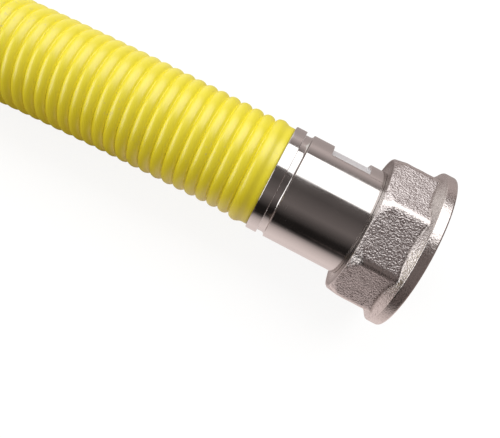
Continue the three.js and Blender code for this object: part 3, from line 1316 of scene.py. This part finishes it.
@dataclass
class Hose:
    """The coated hose between the fittings, a stiff hose of a fixed length."""

    diameter: float = 35.5 * MM
    gap: float = 0.3 * MM

    def build(self, finishes: Finishes, far_pieces: list[bpy.types.Object]) -> None:
        """Args:
            finishes: The materials.
            far_pieces: The pieces of the fitting on the hose's far end; not used.
        """
        near = FittingAxis(End.NEAR)
        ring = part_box("near_end_ring")
        start = np.array([ring[0][0] - self.gap, near.mouth[1], near.mouth[2]])
        reach = ring[1][0] - ring[0][0] + self.gap
        route = HoseRoute(start, reach)
        tube = CorrugatedTube().build(route, reach)
        dress(tube, finishes.tube, Body.HOSE, Slot.TUBE, "corrugated_tube")
        coating = YellowCoating().build(route)
        dress(coating, finishes.yellow, Body.HOSE, Slot.COATING, "yellow_coating")
        path = route.frames(np.linspace(0.0, route.length, 120))[0]
        [tuple(point) for point in path]
        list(far_pieces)


@dataclass(frozen=True)
class PhotoCamera:
    """Camera at the photograph's angle, worked out from where the hose's axis lies in the picture."""

    width_px: int = 500
    height_px: int = 438
    focal_px: float = 680.0
    axis_pixel: tuple[float, float] = (150.7, 115.5)
    axis_point_mm: tuple[float, float, float] = (-70.8, -0.35, 26.5)
    axis_angle_deg: float = 27.65
    axis_tilt_deg: float = 0.85
    elevation_deg: float = 80.0
    pixel_mm: float = 0.3296
    sensor_mm: float = 36.0

    def build(self) -> None:
        """Places the camera.

        Formula: the turn that takes the axis's direction in the picture to +X, and the direction
        square to it towards the camera to the view's elevation on the −Y side. The camera then lies
        where the axis's point falls on its pixel at its distance.
        """
        slant, tilt = math.radians(self.axis_angle_deg), math.radians(self.axis_tilt_deg)
        flat = math.cos(tilt)
        axis = np.array([math.cos(slant) * flat, -math.sin(slant) * flat, math.sin(tilt)])
        towards = unit(UP - axis[2] * axis)
        lift = math.radians(self.elevation_deg)
        world_axis = np.array([1.0, 0.0, 0.0])
        world_towards = np.array([0.0, -math.cos(lift), math.sin(lift)])
        picture = np.stack([axis, towards, np.cross(axis, towards)], axis=1)
        world = np.stack([world_axis, world_towards, np.cross(world_axis, world_towards)], axis=1)
        turn = world @ picture.T
        right = self.axis_pixel[0] - self.width_px / 2
        above = self.height_px / 2 - self.axis_pixel[1]
        from_camera = np.array([right, above, -self.focal_px]) * self.pixel_mm * MM
        place = np.array(self.axis_point_mm) * MM - turn @ from_camera
        data = bpy.data.cameras.new("photo_camera")
        data.sensor_width = self.sensor_mm
        data.lens = self.focal_px / self.width_px * self.sensor_mm
        data.clip_start = 0.01
        camera = put_in_scene("photo_camera", data)
        camera.matrix_world = placed(turn, place)
        bpy.context.scene.camera = camera
        LOG.info("camera at %s", np.round(place, 4))


@dataclass(frozen=True)
class Lamp:
    """A soft lamp: the angle of its middle from straight up towards −Y, its share along X, its distance,
    its size across and along, and its radiance."""

    name: str
    from_up_deg: float
    along_x: float
    distance: float
    across: float
    long: float
    radiance: float

    def build(self, target: tuple[float, float, float]) -> None:
        """Places the lamp so that it faces the target.

        Formula: power = radiance × π × area, so that a polished face that reflects it shows the
        radiance.

        Args:
            target: Point that it faces.
        """
        angle = math.radians(self.from_up_deg)
        way = unit(np.array([self.along_x, -math.sin(angle), math.cos(angle)]))
        data = bpy.data.lights.new(self.name, "AREA")
        data.shape = "RECTANGLE"
        data.size = self.long
        data.size_y = self.across
        data.energy = self.radiance * math.pi * self.long * self.across
        side = unit(np.cross(np.array([0.0, 1.0, 0.0]), way))
        axes = np.stack([side, np.cross(way, side), way], axis=1)
        lamp = put_in_scene(self.name, data)
        lamp.matrix_world = placed(axes, np.array(target) + self.distance * way)


@dataclass(frozen=True)
class Studio:
    """Pale floor, a large softbox behind the hose and a small one in front of it to its left, and a world
    that is dark on the near side.

    The spans are metres of the floor's X or Y, and for the sky shares of a direction's X. The levels
    are brightnesses that metal mirrors, all of one tint, at half a metre more than the floor's Y and
    at degrees from straight up towards −Y.
    """

    floor_reach: float = 4.0
    floor_drop: float = 0.1 * MM
    floor_glow: float = 0.85
    floor_grey: Colour = (0.2, 0.2, 0.2)
    floor_tint: Colour = (0.5, 0.42, 0.32)
    floor_far: Colour = (0.09, 0.065, 0.055)
    floor_behind: Colour = (0.95, 0.92, 0.88)
    past_nut: Colour = (0.2, 0.158, 0.15)
    banded_span: Spot = (-0.085, -0.04)
    behind_span: Spot = (0.0, 0.06)
    past_nut_span: Spot = (0.12, 0.2)
    sky_past_nut_span: Spot = (0.2, 0.24)
    lamp_target: tuple[float, float, float] = (-0.05, 0.0, 0.0)
    mirrored_tint: Colour = (1.0, 0.86, 0.83)
    floor_levels: Levels = ((0.0, 0.01), (0.27, 0.08), (0.36, 0.4), (0.46, 0.95), (0.53, 0.45), (0.9, 0.65))
    sky_levels: Levels = (
        (-180, 0.6),
        (-90, 0.65),
        (-70, 0.22),
        (-10, 0.12),
        (10, 0.09),
        (45, 0.18),
        (60, 0.09),
        (75, 0.015),
        (180, 0.01),
    )
    lamps: tuple[Lamp, ...] = (
        Lamp("softbox", -40.0, -0.1, 1.5, 1.53, 2.8, 1.9),
        Lamp("side_softbox", 41.0, -1.6, 1.3, 1.3, 0.8, 2.1),
    )
    fill_bands: Stops = (
        (-180, (0.42, 0.36, 0.28)),
        (-90, (0.42, 0.4, 0.37)),
        (0, (0.43, 0.43, 0.43)),
        (50, (0.41, 0.35, 0.28)),
        (90, (0.3, 0.2, 0.09)),
        (180, (0.42, 0.36, 0.28)),
    )

    def build(self) -> None:
        """Makes the lamps, the floor and the world."""
        for lamp in self.lamps:
            lamp.build(self.lamp_target)
        self._floor()
        self._world()
        bpy.context.scene.view_settings.view_transform = "Standard"

    def _tinted(self, levels: Levels) -> Stops:
        """Colour stops of levels of the mirrored tint: each level × the tint."""
        return [(place, tuple(level * share for share in self.mirrored_tint)) for place, level in levels]

    def _floor(self) -> None:
        """The floor, a square under the object.

        The camera sees it white, with the object's shadow on its grey share. Reflections see bands
        along Y under the fitting, darker or pale beyond the hose's start, and one grey past the nut.
        All other light sees a warm tint.
        """
        reach, low = self.floor_reach, -self.floor_drop
        mesh = bpy.data.meshes.new("floor")
        corners = [(-reach, -reach, low), (reach, -reach, low), (reach, reach, low), (-reach, reach, low)]
        mesh.from_pydata(corners, [], [(0, 1, 2, 3)])
        floor = put_in_scene("floor", mesh)
        material = bpy.data.materials.new("Pale floor")
        material.use_nodes = True
        material.node_tree.nodes.clear()
        tree = Tree(material.node_tree)
        rays = tree.node("ShaderNodeLightPath").outputs
        lit, part = (
            tree.node("ShaderNodeBsdfDiffuse", {"Color": rgba(colour)}).outputs[0]
            for colour in (self.floor_tint, self.floor_grey)
        )
        white = tree.node("ShaderNodeEmission", {"Strength": self.floor_glow}).outputs[0]
        seen = tree.node("ShaderNodeAddShader", {0: white, 1: part}).outputs[0]
        parts = tree.node("ShaderNodeSeparateXYZ", {0: tree.place()}).outputs
        banded = tree.bands(tree.add(parts[1], 0.5), self._tinted(self.floor_levels))
        behind = tree.spread(parts[1], self.behind_span)
        far = tree.mix(behind, rgba(self.floor_far), rgba(self.floor_behind))
        faded = tree.mix(tree.spread(parts[0], self.banded_span), far, banded)
        glow = tree.mix(tree.spread(parts[0], self.past_nut_span), faded, rgba(self.past_nut))
        mirrored = tree.node("ShaderNodeEmission", {"Color": glow}).outputs[0]
        bounced = tree.node("ShaderNodeMixShader", {0: rays["Is Glossy Ray"], 1: lit, 2: mirrored}).outputs[0]
        whole = tree.node("ShaderNodeMixShader", {0: rays["Is Camera Ray"], 1: bounced, 2: seen}).outputs[0]
        tree.node("ShaderNodeOutputMaterial", {"Surface": whole})
        mesh.materials.append(material)

    def _world(self) -> None:
        """The world: white to the camera, fill bands for all other light, and in reflections bands
        around the hose with one grey past the nut.

        Formula: a direction's colour depends on its angle from straight up towards −Y, which is
        atan2(−y, z).
        """
        world = bpy.data.worlds.new("studio")
        bpy.context.scene.world = world
        world.use_nodes = True
        world.node_tree.nodes.clear()
        tree = Tree(world.node_tree)
        rays = tree.node("ShaderNodeLightPath").outputs
        way = tree.node("ShaderNodeTexCoord").outputs["Generated"]
        parts = tree.node("ShaderNodeSeparateXYZ", {0: way}).outputs
        angle = tree.math("ARCTAN2", tree.times(parts[1], -1.0), parts[2])
        share = tree.add(tree.math("DIVIDE", angle, 2 * math.pi), 0.5)
        mirrored, fill = (
            tree.bands(share, [(degrees / 360 + 0.5, colour) for degrees, colour in bands])
            for bands in (self._tinted(self.sky_levels), self.fill_bands)
        )
        aside = tree.spread(parts[0], self.sky_past_nut_span)
        studio = tree.mix(aside, mirrored, rgba(self.past_nut))
        unseen = tree.mix(rays["Is Glossy Ray"], fill, studio)
        shown = tree.mix(rays["Is Camera Ray"], unseen, rgba((1.0, 1.0, 1.0)))
        light = tree.node("ShaderNodeBackground", {"Color": shown}).outputs[0]
        tree.node("ShaderNodeOutputWorld", {"Surface": light})


def main() -> None:
    """Builds the camera, the hose, its fittings and the studio."""
    PhotoCamera().build()
    finishes = Finishes.make()
    far_pieces = Fitting(End.FAR).build(finishes)
    Fitting(End.NEAR).build(finishes)
    Hose().build(finishes, far_pieces)
    Studio().build()


if __name__ == "__main__":
    main()
